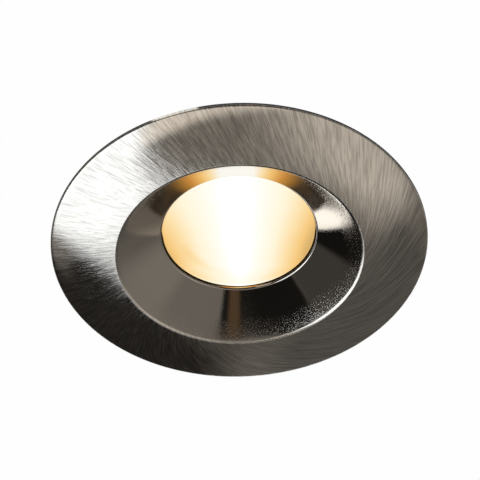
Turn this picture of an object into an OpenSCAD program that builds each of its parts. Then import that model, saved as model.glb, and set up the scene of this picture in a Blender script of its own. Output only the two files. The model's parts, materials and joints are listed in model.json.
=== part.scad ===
// Round recessed soffit downlight: a twist-lock bezel on a sprung can with its driver behind it.
// Millimetres. The plane z = 0 is the lower face of the ceiling board. +Z goes up into the
// soffit, the light shines towards -Z, and the two sprung clips sit at -X and +X. The collar
// passes a hole 0.8 mm wider than itself, 68 mm across with the sizes below.
//
// The sizes run from the outside in and then back out: the bezel's diameter gives the lip and the
// aperture, the aperture gives the lens and the tube behind it, and the sleeve behind the lip
// gives the can's collar.

/* [Bezel] */
// Outer diameter of the bezel
bezel_d = 85; // [80:0.5:92]
// Thickness of the bezel's visible edge
rim_t = 0.85; // [0.7:0.05:1]
// Radius of the rounding on the front of that edge
rim_round = 0.4; // [0.2:0.05:0.5]
// Wall of the pressed bezel
bezel_wall = 1; // [0.8:0.05:1.1]
// Slope of the dome at the edge, in degrees
rim_slope = 20; // [18:0.5:22]
// Slope of the dome beside the lip, in degrees
lip_slope = 4; // [2:0.5:6]
// Width of the dome, from the bezel's edge to the crest of the raised lip
dome_w = 14.5; // [13:0.25:16]
// Radius of the lip's round bead
bead_r = 0.6; // [0.4:0.05:0.7]
// Slope of the polished cone inside the lip, in degrees
cone_slope = 38; // [36:0.5:39]
// Width of the recess, from the lip's crest to the light aperture
recess_w = 10.5; // [9.5:0.25:11.5]
// Wall of the sleeve that locks into the can
sleeve_wall = 1; // [0.8:0.1:1.2]
// Height of the sleeve's top above the ceiling face
sleeve_top = 3.6; // [3.2:0.1:3.8]

/* [Twist lock] */
// Number of locking lugs
lug_count = 3; // [2:1:4]
// Width of a lug, in degrees
lug_angle = 18; // [12:1:22]
// How far a lug stands out from the sleeve
lug_reach = 1.7; // [1.2:0.1:1.9]
// Height of a lug
lug_h = 1.6; // [1.2:0.1:1.8]
// Height of a lug's lower face above the ceiling face
lug_z = 0.6; // [0.5:0.05:0.7]
// Turn between locked and released, in degrees
twist_turn = 26; // [24:1:30]
// Play between the bezel and the can
lock_gap = 0.3; // [0.2:0.05:0.35]

/* [Can] */
// Wall of the can's collar outside the groove for the lugs
collar_wall = 2; // [1.6:0.1:2.4]
// How far the can's flange reaches past the collar
flange_reach = 2.4; // [2:0.1:2.6]
// Thickness of the can's flange
flange_t = 0.8; // [0.7:0.05:0.9]
// Thickness of the ceiling gasket
gasket_t = 0.5; // [0.4:0.05:0.6]
// Distance from the collar to the gasket, which bears on the ceiling outside the cut-out
gasket_clear = 1; // [0.8:0.1:1.2]
// Height of the collar's top above the ceiling face
collar_top = 6.4; // [6.2:0.1:6.8]
// Thickness of the shoulder between the collar and the tube
shoulder_t = 1.4; // [1.2:0.1:1.6]
// Wall of the tube that holds the light source
tube_wall = 2; // [1.6:0.1:2.4]
// Height of the can's flat top above the ceiling face
can_top = 24; // [24:0.5:28]
// Thickness of the can's top, which carries the light source
can_floor_t = 4; // [3.5:0.5:5]
// Number of cooling fins if they went all the way round
fin_count = 36; // [24:2:40]
// Thickness of a fin
fin_t = 1.4; // [1:0.1:1.8]
// How far the fins' edges stay inside the collar's diameter
fin_inset = 0.4; // [0.3:0.1:1]

/* [Lens and light source] */
// How far the lens's seated rim reaches past its face
lens_rim = 2.25; // [1.8:0.05:2.6]
// Thickness of the lens's seated rim
lens_t = 2.2; // [1.8:0.1:2.6]
// Play between the lens's face and the aperture
lens_gap = 0.25; // [0.2:0.05:0.4]
// Thickness of the lens seal
lens_seal_t = 0.6; // [0.4:0.1:0.8]
// Wall of the lens ring round the lens
ring_wall = 2.7; // [2.2:0.1:3]
// Thickness of the lens ring's inner lip
ring_lip_t = 1; // [0.8:0.1:1.2]
// How far the lens ring's flange reaches under the shoulder
ring_reach = 1.9; // [1.4:0.1:2]
// Wall of the reflector
reflector_wall = 0.8; // [0.6:0.1:1]
// Diameter of the reflector's small end
reflector_throat_d = 13; // [12:0.5:14]
// Side of the square light-source board
led_side = 13.5; // [12:0.5:15]
// Thickness of that board
led_board_t = 1.4; // [1:0.1:1.6]
// Diameter of the light-giving spot
led_spot_d = 10; // [8:0.5:11]
// Thickness of the thermal pad
pad_t = 0.4; // [0.3:0.1:0.5]
// Diameter of the holder that clamps the board
holder_d = 32; // [31:0.5:34]
// Distance of the holder's screws from its edge
holder_edge = 3; // [2.8:0.1:3.4]

/* [Clips] */
// Height of a clip's pin above the ceiling face
pin_z = 15; // [14.5:0.25:16]
// Diameter of a clip's pin
pin_d = 2.4; // [2:0.1:2.6]
// Thickness of the sheet that the brackets are pressed from
bracket_t = 0.8; // [0.7:0.1:1]
// Play between a bracket's cheek and the arm
cheek_gap = 0.8; // [0.5:0.1:1]
// Height of a bracket's back plate
bracket_h = 14.6; // [14.2:0.2:15.6]
// Thickness of the sheet that the arms are pressed from
arm_t = 0.8; // [0.7:0.05:0.9]
// Width of an arm at its pin
arm_w = 12.8; // [11.5:0.1:13]
// Width of an arm at its tip
arm_tip_w = 6; // [4:0.5:6.5]
// Length of an arm from its pin
arm_length = 20; // [18:0.5:21]
// Angle of the sprung-out arm below level, in degrees
arm_droop = 30; // [26:1:32]
// Length of the soft foot on an arm's tip
foot_length = 6; // [4:0.5:8]
// Wall of that foot
foot_wall = 0.5; // [0.4:0.1:0.5]
// Diameter of the spring wire
wire_d = 1; // [0.8:0.05:1]
// Mean diameter of the spring's coil
coil_d = 4.6; // [4.4:0.1:4.7]
// Whole turns in the coil
coil_turns = 4; // [3:1:4]
// Distance from one turn to the next
coil_pitch = 1.5; // [1.45:0.05:1.6]
// Length of the spring's leg on the bracket
leg_up = 5.4; // [4:0.2:6]
// Length of the spring's leg on the arm
leg_out = 6; // [5:0.5:6]

/* [Driver] */
// Outer diameter of the driver case
case_d = 56; // [54:1:57]
// Height of the driver case
case_h = 17.5; // [17.5:0.5:24]
// Wall of the driver case
case_wall = 1.6; // [1.4:0.1:2]
// Thickness of the seal under the rear cover
cover_seal_t = 0.5; // [0.4:0.1:0.8]
// Thickness of the rear cover's plate
cover_t = 2; // [1.6:0.1:2.4]
// Height of the driver board's lower face above the case floor
board_lift = 5.4; // [4:0.2:6]
// Thickness of the driver board
board_t = 1.6; // [1.2:0.2:2]

/* [Terminal box] */
// Length of the terminal box
box_l = 46; // [44:0.5:47]
// Width of the terminal box
box_w = 30; // [28:0.5:31]
// Height of the terminal box above the rear cover's plate
box_h = 14; // [14:0.5:18]
// Wall of the terminal box
box_wall = 1.6; // [1.4:0.1:2]
// Thickness of the lid
lid_t = 1.6; // [1.4:0.1:2]
// Diameter of the hole that takes the supply cable
cable_d = 7; // [6:0.25:7.5]
// Diameter of the lid's hinge pin
hinge_pin_d = 1.6; // [1.4:0.1:1.8]
// Diameter of the lid's hinge knuckles
knuckle_d = 3.4; // [3:0.1:3.6]
// Height of the terminal block
block_h = 9; // [8:0.5:10]
// Distance between the poles of the terminal block
pole_pitch = 7; // [6:0.25:7.5]

/* [Hidden] */
$fn = 96;

// Play of one part beside another that it doesn't bear on
gap = 0.3;
// Radial play of a pin or screw in its hole
fit = 0.05;
// Reach of one solid into the next, where they are one piece
sink = 0.4;

// Bezel: the dome is an arc, tangent to the rounded edge, that ends at the lip's bead.
bezel_r = bezel_d / 2;
lip_r = bezel_r - dome_w;
aperture_r = lip_r - recess_w;
dome_steps = 12;
round_steps = 6;
bead_start = 20;
rim_centre = [bezel_r - rim_round, rim_round - rim_t];
dome_start = rim_centre + rim_round * [sin(rim_slope), -cos(rim_slope)];
dome_end_r = lip_r + bead_r * cos(bead_start);
dome_radius = (dome_start.x - dome_end_r) / (sin(rim_slope) - sin(lip_slope));
dome_centre = dome_start - dome_radius * [sin(rim_slope), -cos(rim_slope)];
dome_back_radius = dome_radius - bezel_wall;
dome_land_slope = acos(dome_centre.y / dome_back_radius);
lip_z = dome_centre.y - dome_radius * cos(lip_slope);
bead_centre = [lip_r, lip_z + bead_r * sin(bead_start)];
cone_start = bead_centre - bead_r * [sin(cone_slope), cos(cone_slope)];
edge_r = bezel_wall / 2;
cone_end_r = aperture_r + edge_r - edge_r * sin(cone_slope);
cone_length = (cone_start.x - cone_end_r) / cos(cone_slope);
cone_end = cone_start + cone_length * [-cos(cone_slope), sin(cone_slope)];
edge_centre = cone_end + edge_r * [sin(cone_slope), cos(cone_slope)];
cone_back = edge_centre + edge_r * [sin(cone_slope), cos(cone_slope)];
valley_r = lip_r - bead_r / 2;
valley_z = cone_back.y - (valley_r - cone_back.x) * tan(cone_slope);
aperture_z = edge_centre.y;

// Can: the sleeve behind the lip gives the groove and the collar, the lens gives the tube
sleeve_r = lip_r + bead_r + sleeve_wall;
can_bore_r = sleeve_r + lock_gap;
groove_r = sleeve_r + lug_reach + lock_gap;
collar_r = groove_r + collar_wall;
flange_r = collar_r + flange_reach;
flange_top = -gasket_t;
flange_bottom = flange_top - flange_t;
gasket_edge = 0.1;
lens_face_r = aperture_r - lens_gap;
lens_r = lens_face_r + lens_rim;
ring_r = lens_r + gap + ring_wall;
tube_bore_r = ring_r + gap;
groove_bottom = lug_z - lock_gap;
groove_top = lug_z + lug_h + lock_gap;
shoulder_z = collar_top - shoulder_t;
tube_r = tube_bore_r + tube_wall;
can_ceiling = can_top - can_floor_t;
fin_r = collar_r - fin_inset;
lug_mid = 90;
entry_play = 2;
entry_ease = 0.2;
stop_play = 1;
fin_drop = 0.6;
holder_screw_depth = 3;
case_screw_depth = 3;
bracket_screw_depth = 1.5;

// Clip: each bracket lies on a flat pad of the can, and the coil stands clear of its plate.
// In the plane of the arm, s runs along the arm and t square to it, up from the pin.
pad_proud = 0.1;
pad_side = 1;
pad_root = 4;
coil_r = coil_d / 2;
wire_r = wire_d / 2;
plate_gap = coil_r + wire_r + gap;
pad_x = tube_r + pad_proud;
plate_x = pad_x + bracket_t;
pin_x = plate_x + plate_gap;
plate_z = collar_top + gap + bracket_h / 2;
bracket_w = arm_w + 2 * (cheek_gap + bracket_t);
pad_half_w = bracket_w / 2 + pad_side;
cheek_reach = 3.2;
cheek_h = 8;
coil_play = 0.2;
web_top = -coil_r - wire_r - coil_play;
web_bottom = web_top - arm_t;
heel_play = 0.12;
heel_s = (web_bottom * sin(arm_droop) + plate_gap - heel_play) / -cos(arm_droop);
hub_wall = 1.4;
hub_r = pin_d / 2 + hub_wall;
hub_inside = hub_r - 0.3;
arm_half_w = arm_w / 2;
foot_nose = 1;
foot_start = arm_length - foot_length + foot_nose;
foot_side = 1.2;
flange_rise = 1.6;
arm_taper_s = 5;
pin_head_step = 0.6;
pin_head_t = 0.7;
bracket_screw_inset = 2.2;
bracket_screw_z = [-1, 1] * (bracket_h / 2 - bracket_screw_inset);
bracket_screw_grip = 1.3;
bracket_head_d = 3.6;
bracket_head_h = 1.2;

// Lens stack
ring_lift = 0.7;
ring_lip_z = aperture_z + edge_r + ring_lift;
lens_z = ring_lip_z + ring_lip_t + lens_seal_t;
lens_top = lens_z + lens_t;
ring_rise = 1.5;
ring_top = lens_top + ring_rise;
ring_flange_t = 1;
ring_bottom = shoulder_z - ring_flange_t;
ring_skirt_wall = 1.4;
mouth_inset = 1.2;
holder_screw_d = 3;
holder_screw_grip = 2.6;
holder_head_d = 5;
holder_head_h = 1.5;
holder_pitch = holder_d - 2 * holder_edge;
led_board_z = can_ceiling - pad_t - led_board_t;
led_spot_t = 0.4;
board_play = 0.2;
board_press = 0.1;
holder_t = 3;
holder_z = can_ceiling - holder_t;
holder_lip_t = holder_t - pad_t - led_board_t - board_press;
reflector_play = 0.2;
reflector_top = holder_z - reflector_play;
wire_hole_r = 1.1;
lead_r = 0.8;
lead_tail = 1.8;
lead_z = can_ceiling - lead_tail;
wire_spread = 3;
wire_edge = 3.5;
wire_y = holder_d / 2 - wire_edge;

// Driver stack
case_r = case_d / 2;
case_z = can_top;
case_top = case_z + case_h;
case_bore_r = case_r - case_wall;
board_z = case_z + case_wall + board_lift;
board_top = board_z + board_t;
cover_z = case_top + cover_seal_t;
cover_top = cover_z + cover_t;
spigot_h = 1.5;
spigot_play = 0.2;
ear_r = 3;
ear_out = 1.6;
ear_orbit = case_r + ear_out;
ear_angles = [60, 120, 240, 300];
ear_h = 9;
ear_hole_depth = 7;
screw_d = 2.5;
screw_head_d = 4.4;
screw_head_h = 1.5;
case_screw_grip = 2.6;
cover_screw_grip = 6;
cord_screw_grip = 3;
case_screw_inset = 5.3;
case_screw_orbit = tube_r - case_screw_inset;
case_screw_angles = [30, 150, 270];
post_angles = [90, 210, 330];
post_inset = 5.9;
post_orbit = case_bore_r - post_inset;
post_r = 2.4;
board_edge = 0.5;
room_h = cover_z - spigot_h - board_top;
core_x = -9;
core_l = 12;
core_w = 14;
core_play = 0.4;
winding_l = 7;
winding_w = 17;
capacitor_places = [[7, -8], [12, 6], [3, 13]];
capacitor_radii = [4.5, 4, 3];
capacitor_play = 0.6;

// Terminal box
box_top = cover_top + box_h;
box_half_l = box_l / 2;
box_half_w = box_w / 2;
cable_play = 0.1;
cable_r = cable_d / 2 + cable_play;
cable_lift = 2.4;
cable_z = cover_top + cable_r + cable_lift;
grommet_wall = 1.2;
grommet_r = cable_r + grommet_wall;
grommet_squeeze = 0.05;
grommet_lip = 1;
grommet_lip_reach = 0.9;
hinge_y = -box_half_w - knuckle_d / 2 - gap;
hinge_lift = 0.2;
hinge_z = box_top + hinge_lift;
knuckle_x = 9.5;
knuckle_l = 6;
knuckle_foot = 3;
hinge_pin_end = 0.5;
block_l = 14;
block_room = 5;
block_x = -box_half_l + box_wall + block_room;
block_w = 3 * pole_pitch;
pole_inset = 4;
pole_x = block_x + block_l - pole_inset;
pole_rise = 0.42 * block_h;
core_bore_d = 3.2;
pole_bore_d = 4;
pole_screw_d = 3.9;
pole_screw_h = 2.4;
pole_screw_lift = 1.7;
slot_w = 0.6;
slot_depth = 0.8;
notch_w = 1;
notch_depth = 2;
grip_room = 6.6;
grip_x = box_half_l - box_wall - grip_room;
grip_l = 5;
grip_side = 4.8;
grip_post_y = cable_r + grip_side;
grip_gap = 0.3;
grip_rise = 0.6;
grip_z = cable_z + grip_rise;
grip_t = 2;
saddle_wall = 1.5;
lid_play = 0.3;
catch_drop = 3;
catch_w = 12;

// ---- helpers ------------------------------------------------------------------------------

function last(list) = list[len(list) - 1];

function arc(centre, radius, from, to, steps) =
    [for (i = [0:steps]) let (a = from + (to - from) * i / steps) centre + radius * [cos(a), sin(a)]];

module ring(outer, inner, low, high) {
    translate([0, 0, low]) difference() {
        cylinder(r = outer, h = high - low);
        translate([0, 0, -1]) cylinder(r = inner, h = high - low + 2);
    }
}

module sector(outer, inner, low, high, middle, angle) {
    rotate([0, 0, middle - angle / 2]) translate([0, 0, low])
        rotate_extrude(angle = angle) translate([inner, 0]) square([outer - inner, high - low]);
}

// A pan-head screw that points down, its head's lower face at z = 0, with a cross recess
module screw(d, length, head_d, head_h) {
    slot_l = 0.64 * head_d;
    slot_t = 0.16 * head_d;
    difference() {
        union() {
            cylinder(d = head_d, h = head_h);
            translate([0, 0, -length]) cylinder(d = d, h = length + head_h / 2);
        }
        for (a = [0, 90]) rotate([0, 0, a])
            translate([-slot_l / 2, -slot_t / 2, 0.45 * head_h]) cube([slot_l, slot_t, head_h]);
    }
}

// Puts a part drawn for the clip at +X on either side of the can
module on_side(side) {
    rotate([0, 0, side == "left" ? 180 : 0]) children();
}

// The plane of the sprung-out arm: x along the arm, z square to it, the pin along y
module on_arm() {
    translate([pin_x, 0, pin_z]) rotate([0, arm_droop, 0]) children();
}

// ---- bezel --------------------------------------------------------------------------------

module bezel_shell() {
    dome_front = arc(dome_centre, dome_radius, rim_slope - 90, lip_slope - 90, dome_steps);
    dome_back = arc(dome_centre, dome_back_radius, lip_slope - 90, dome_land_slope - 90, dome_steps);
    rotate_extrude() polygon(concat(
        [[bezel_r, 0]],
        arc(rim_centre, rim_round, 0, rim_slope - 90, round_steps),
        [for (i = [1:dome_steps]) dome_front[i]],
        arc(bead_centre, bead_r, -bead_start, -90 - cone_slope, round_steps),
        arc(edge_centre, edge_r, 270 - cone_slope, 90 - cone_slope, round_steps),
        [[valley_r, valley_z]],
        dome_back
    ));
}

module bezel() {
    color([0.62, 0.6, 0.56]) union() {
        bezel_shell();
        ring(sleeve_r, sleeve_r - sleeve_wall, lip_z + bezel_wall / 2, sleeve_top);
        for (i = [0:lug_count - 1])
            sector(sleeve_r + lug_reach, sleeve_r - sleeve_wall / 2, lug_z, lug_z + lug_h,
                lug_mid + 360 * i / lug_count, lug_angle);
    }
}

module bezel_seal() {
    color([0.15, 0.15, 0.16])
        ring(can_bore_r, sleeve_r - sleeve_wall, sleeve_top + gap, shoulder_z);
}

// ---- can ----------------------------------------------------------------------------------

module ceiling_gasket() {
    color([0.12, 0.12, 0.13]) ring(flange_r - gasket_edge, collar_r + gasket_clear, flange_top, 0);
}

// The lugs enter through gaps in the ledge and then turn along the groove above it.
module lock_ways() {
    for (i = [0:lug_count - 1]) {
        locked = lug_mid + 360 * i / lug_count;
        sector(groove_r + entry_ease, can_bore_r - 0.5, flange_bottom - 1, groove_bottom + entry_ease,
            locked + twist_turn, lug_angle + 2 * entry_play);
        sector(groove_r, can_bore_r - 0.5, groove_bottom, groove_top,
            locked + twist_turn / 2, twist_turn + lug_angle + 2 * stop_play);
    }
}

module fins() {
    step = 360 / fin_count;
    for (i = [0:fin_count - 1]) {
        a = step * (i + 0.5);
        reach = abs(sin(a)) * (tube_r + fin_t / 2);
        if (reach > pad_half_w + fin_t)
            rotate([0, 0, a]) translate([tube_r - sink, -fin_t / 2, collar_top - sink])
                cube([fin_r - tube_r + sink, fin_t, can_top - fin_drop - collar_top + sink]);
    }
}

module clip_pads() {
    for (side = ["left", "right"]) on_side(side)
        translate([tube_bore_r - pad_root, -pad_half_w, collar_top - sink])
            cube([pad_x - tube_bore_r + pad_root, 2 * pad_half_w, can_top - fin_drop - collar_top + sink]);
}

// What stands in front of the clip pads is cut away, so that the brackets lie flat.
module pad_flats() {
    for (side = ["left", "right"]) on_side(side)
        translate([pad_x, -pad_half_w, collar_top]) cube([fin_r, 2 * pad_half_w, can_top]);
}

module can() {
    color([0.56, 0.57, 0.58]) difference() {
        union() {
            translate([0, 0, flange_bottom]) cylinder(r = flange_r, h = flange_t);
            translate([0, 0, flange_top - 0.1]) cylinder(r = collar_r, h = collar_top - flange_top + 0.1);
            translate([0, 0, collar_top - sink]) cylinder(r = tube_r, h = can_top - collar_top + sink);
            clip_pads();
            fins();
        }
        pad_flats();
        translate([0, 0, flange_bottom - 1]) cylinder(r = can_bore_r, h = shoulder_z - flange_bottom + 1);
        translate([0, 0, shoulder_z - 1]) cylinder(r = tube_bore_r, h = can_ceiling - shoulder_z + 1);
        lock_ways();
        for (x = [-1, 1] * holder_pitch / 2)
            translate([x, 0, can_ceiling - 1])
                cylinder(d = holder_screw_d + 2 * fit, h = holder_screw_depth + 1);
        for (a = case_screw_angles) rotate([0, 0, a])
            translate([case_screw_orbit, 0, can_top - case_screw_depth])
                cylinder(d = screw_d + 2 * fit, h = case_screw_depth + 1);
        for (x = [-1, 1] * wire_spread)
            translate([x, wire_y, can_ceiling - 1]) cylinder(r = wire_hole_r, h = can_floor_t + 2);
        for (side = ["left", "right"]) on_side(side) for (z = bracket_screw_z)
            translate([pad_x - bracket_screw_depth, 0, plate_z + z]) rotate([0, 90, 0])
                cylinder(d = screw_d + 2 * fit, h = 2 * bracket_screw_depth);
    }
}

// ---- lens and light source ----------------------------------------------------------------

module lens() {
    color([0.98, 0.93, 0.8, 0.9]) union() {
        translate([0, 0, lens_z]) cylinder(r = lens_r, h = lens_t);
        translate([0, 0, aperture_z]) cylinder(r = lens_face_r, h = lens_z - aperture_z + sink);
    }
}

module lens_seal() {
    color([0.85, 0.85, 0.84])
        ring(lens_r - 0.1, lens_face_r + gap, ring_lip_z + ring_lip_t, lens_z);
}

// A flange under the can's shoulder, an outer wall in the tube and a lip that carries the lens
module lens_ring() {
    color([0.2, 0.2, 0.21]) difference() {
        union() {
            translate([0, 0, ring_bottom]) cylinder(r = tube_bore_r + ring_reach, h = ring_flange_t);
            translate([0, 0, ring_bottom]) cylinder(r = ring_r, h = ring_top - ring_bottom);
        }
        translate([0, 0, ring_bottom - 1])
            cylinder(r = ring_r - ring_skirt_wall, h = ring_lip_z - ring_bottom + 1);
        translate([0, 0, ring_bottom - 1])
            cylinder(r = lens_face_r + gap, h = ring_top - ring_bottom + 2);
        translate([0, 0, ring_lip_z + ring_lip_t]) cylinder(r = lens_r + gap, h = ring_top);
    }
}

module reflector() {
    throat_r = reflector_throat_d / 2;
    mouth_r = lens_face_r - mouth_inset;
    color([0.9, 0.9, 0.92]) rotate_extrude() polygon([
        [mouth_r, lens_top],
        [lens_r, lens_top],
        [lens_r, lens_top + reflector_wall],
        [mouth_r + reflector_wall, lens_top + reflector_wall],
        [throat_r + reflector_wall, reflector_top],
        [throat_r, reflector_top]
    ]);
}

module led_holder() {
    seat_side = led_side + 2 * board_play;
    color([0.93, 0.93, 0.9]) difference() {
        translate([0, 0, holder_z]) cylinder(d = holder_d, h = holder_t);
        translate([0, 0, holder_z - 1]) cylinder(d = reflector_throat_d, h = holder_t + 2);
        translate([-seat_side / 2, -seat_side / 2, holder_z + holder_lip_t])
            cube([seat_side, seat_side, holder_t]);
        for (x = [-1, 1] * holder_pitch / 2)
            translate([x, 0, holder_z - 1]) cylinder(d = holder_screw_d + 4 * fit, h = holder_t + 2);
        for (x = [-1, 1] * wire_spread)
            translate([x, wire_y, lead_z - board_play]) cylinder(r = wire_hole_r, h = holder_t);
    }
}

module led_board() {
    color([0.88, 0.88, 0.86]) translate([-led_side / 2, -led_side / 2, led_board_z])
        cube([led_side, led_side, led_board_t]);
}

module led_spot() {
    color([0.97, 0.83, 0.3]) translate([0, 0, led_board_z - led_spot_t])
        cylinder(d = led_spot_d, h = led_spot_t);
}

module thermal_pad() {
    color([0.7, 0.72, 0.75]) translate([-led_side / 2, -led_side / 2, can_ceiling - pad_t])
        cube([led_side, led_side, pad_t]);
}

module holder_screws() {
    color([0.7, 0.7, 0.7]) for (x = [-1, 1] * holder_pitch / 2)
        translate([x, 0, holder_z]) rotate([180, 0, 0])
            screw(holder_screw_d, holder_t + holder_screw_grip, holder_head_d, holder_head_h);
}

module led_wires() {
    color([0.75, 0.1, 0.1]) for (x = [-1, 1] * wire_spread)
        translate([x, wire_y, lead_z]) cylinder(r = lead_r, h = board_z - lead_z);
}

// ---- clips --------------------------------------------------------------------------------

module clip_bracket(side) {
    cheek_z = -cheek_h / 2;
    color([0.74, 0.75, 0.76]) on_side(side) translate([0, 0, plate_z]) difference() {
        union() {
            translate([pad_x, -bracket_w / 2, -bracket_h / 2]) cube([bracket_t, bracket_w, bracket_h]);
            for (y = [-bracket_w / 2, bracket_w / 2 - bracket_t])
                translate([pad_x, y, cheek_z + pin_z - plate_z])
                    cube([pin_x + cheek_reach - pad_x, bracket_t, cheek_h]);
        }
        translate([pin_x, -bracket_w, pin_z - plate_z]) rotate([-90, 0, 0])
            cylinder(d = pin_d + 2 * fit, h = 2 * bracket_w);
        for (z = bracket_screw_z) translate([pad_x - 1, 0, z]) rotate([0, 90, 0])
            cylinder(d = screw_d + 4 * fit, h = bracket_t + 2);
    }
}

module bracket_screws() {
    color([0.7, 0.7, 0.7]) for (side = ["left", "right"]) on_side(side) for (z = bracket_screw_z)
        translate([plate_x, 0, plate_z + z]) rotate([0, 90, 0])
            screw(screw_d, bracket_t + bracket_screw_grip, bracket_head_d, bracket_head_h);
}

module clip_pin(side) {
    half = bracket_w / 2;
    color([0.8, 0.8, 0.8]) on_side(side) translate([pin_x, 0, pin_z]) rotate([-90, 0, 0]) union() {
        translate([0, 0, -half]) cylinder(d = pin_d, h = 2 * half);
        for (z = [-half - pin_head_t, half]) translate([0, 0, z])
            cylinder(r = pin_d / 2 + pin_head_step, h = pin_head_t);
    }
}

// The spring's wire: up the bracket, round the pin and out along the arm
spring_rings = 8;
spring_sides = 6;
spring_sweep = 360 * coil_turns + 90 - arm_droop;
spring_steps = round(spring_sweep / 360 * spring_rings);
coil_start_y = -coil_pitch * spring_sweep / 720;

function coil_point(a) = [coil_r * cos(a), coil_start_y + coil_pitch * (a - 180) / 360, coil_r * sin(a)];

spring_end_a = 180 + spring_sweep;
spring_end = coil_point(spring_end_a);
spring_angles = concat(
    [180, 180],
    [for (i = [1:spring_steps - 1]) 180 + spring_sweep * i / spring_steps],
    [spring_end_a, spring_end_a]
);
spring_points = concat(
    [coil_point(180) + [0, 0, leg_up]],
    [for (i = [0:spring_steps]) coil_point(180 + spring_sweep * i / spring_steps)],
    [spring_end + leg_out * [cos(arm_droop), 0, -sin(arm_droop)]]
);
// The wire's least gap to itself, measured between points of the coil's turns and of the two legs
gap_coil = [for (i = [0:spring_steps]) coil_point(180 + 360 * i / spring_rings)];
gap_leg_up = [for (i = [0:spring_rings]) coil_point(180) + [0, 0, leg_up * i / spring_rings]];
gap_leg_out = [
    for (i = [0:spring_rings]) spring_end + (last(spring_points) - spring_end) * i / spring_rings
];
near = spring_rings - 2;
spring_least_gap = min(concat(
    [for (i = [0:spring_steps - near]) for (j = [i + near:spring_steps]) norm(gap_coil[i] - gap_coil[j])],
    [for (p = gap_leg_up) for (j = [near:spring_steps]) norm(p - gap_coil[j])],
    [for (p = gap_leg_out) for (j = [0:spring_steps - near]) norm(p - gap_coil[j])]
)) - wire_d;
echo(spring_least_gap_mm = spring_least_gap);

module clip_spring(side) {
    count = len(spring_points);
    vertices = [
        for (i = [0:count - 1]) for (k = [0:spring_sides - 1])
            let (a = spring_angles[i], u = 360 * k / spring_sides)
                spring_points[i] + wire_r * (cos(u) * [cos(a), 0, sin(a)] + sin(u) * [0, 1, 0])
    ];
    end = (count - 1) * spring_sides;
    faces = concat(
        [for (k = [1:spring_sides - 2]) [0, k, k + 1]],
        [for (i = [0:count - 2]) for (k = [0:spring_sides - 1])
            let (a = i * spring_sides + k, b = i * spring_sides + (k + 1) % spring_sides)
                [a, b + spring_sides, b]],
        [for (i = [0:count - 2]) for (k = [0:spring_sides - 1])
            let (a = i * spring_sides + k, b = i * spring_sides + (k + 1) % spring_sides)
                [a, a + spring_sides, b + spring_sides]],
        [for (k = [1:spring_sides - 2]) [end, end + k + 1, end + k]]
    );
    color([0.7, 0.71, 0.72]) on_side(side) translate([pin_x, 0, pin_z]) polyhedron(vertices, faces);
}

// A pressed channel: two hubs on the pin, their flanges along the arm and a web under the coil
module clip_arm(side) {
    color([0.74, 0.75, 0.76]) on_side(side) on_arm() difference() {
        union() {
            arm_web();
            for (y = [-arm_half_w, arm_half_w - arm_t]) translate([0, y + arm_t, 0]) rotate([90, 0, 0])
                linear_extrude(arm_t) union() {
                    circle(r = hub_r);
                    polygon([
                        [heel_s, web_bottom],
                        [arm_taper_s, web_bottom],
                        [arm_taper_s, web_top + flange_rise],
                        hub_inside * [cos(40), sin(40)],
                        hub_inside * [-cos(25), -sin(25)]
                    ]);
                }
        }
        translate([0, -arm_w, 0]) rotate([-90, 0, 0]) cylinder(d = pin_d + 2 * fit, h = 2 * arm_w);
    }
}

module arm_web() {
    translate([0, 0, web_bottom]) linear_extrude(arm_t) polygon([
        [heel_s, -arm_half_w],
        [arm_taper_s, -arm_half_w],
        [arm_length, -arm_tip_w / 2],
        [arm_length, arm_tip_w / 2],
        [arm_taper_s, arm_half_w],
        [heel_s, arm_half_w]
    ]);
}

// The soft foot is a cap pushed on the tip of the arm
module clip_foot(side) {
    foot_half_w = arm_tip_w / 2 + foot_side;
    color([0.2, 0.2, 0.22]) on_side(side) on_arm() difference() {
        translate([foot_start, -foot_half_w, web_bottom - foot_wall])
            cube([foot_length, 2 * foot_half_w, arm_t + 2 * foot_wall]);
        arm_web();
    }
}

// ---- driver -------------------------------------------------------------------------------

// Ears for the cover's screws, round the case or the cover
module ears(low, high) {
    for (a = ear_angles) rotate([0, 0, a]) translate([ear_orbit, 0, low]) {
        cylinder(r = ear_r, h = high - low);
        translate([-ear_r - sink, -ear_r, 0]) cube([ear_r + sink, 2 * ear_r, high - low]);
    }
}

module driver_case() {
    color([0.16, 0.16, 0.17]) difference() {
        union() {
            translate([0, 0, case_z]) cylinder(r = case_r, h = case_h);
            ears(case_top - ear_h, case_top);
        }
        translate([0, 0, case_z + case_wall]) cylinder(r = case_bore_r, h = case_h);
        for (a = ear_angles) rotate([0, 0, a])
            translate([ear_orbit, 0, case_top - ear_hole_depth])
                cylinder(d = screw_d + 2 * fit, h = ear_hole_depth + 1);
        for (a = case_screw_angles) rotate([0, 0, a])
            translate([case_screw_orbit, 0, case_z - 1]) cylinder(d = screw_d + 4 * fit, h = case_wall + 2);
        for (x = [-1, 1] * wire_spread)
            translate([x, wire_y, case_z - 1]) cylinder(r = wire_hole_r, h = case_wall + 2);
    }
    color([0.16, 0.16, 0.17]) for (a = post_angles) rotate([0, 0, a])
        translate([post_orbit, 0, case_z + case_wall - sink]) cylinder(r = post_r, h = board_lift + sink);
}

module case_screws() {
    color([0.7, 0.7, 0.7]) for (a = case_screw_angles) rotate([0, 0, a])
        translate([case_screw_orbit, 0, case_z + case_wall])
            screw(screw_d, case_wall + case_screw_grip, screw_head_d, screw_head_h);
}

module driver_board() {
    color([0.1, 0.4, 0.2]) translate([0, 0, board_z]) cylinder(r = case_bore_r - board_edge, h = board_t);
}

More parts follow.
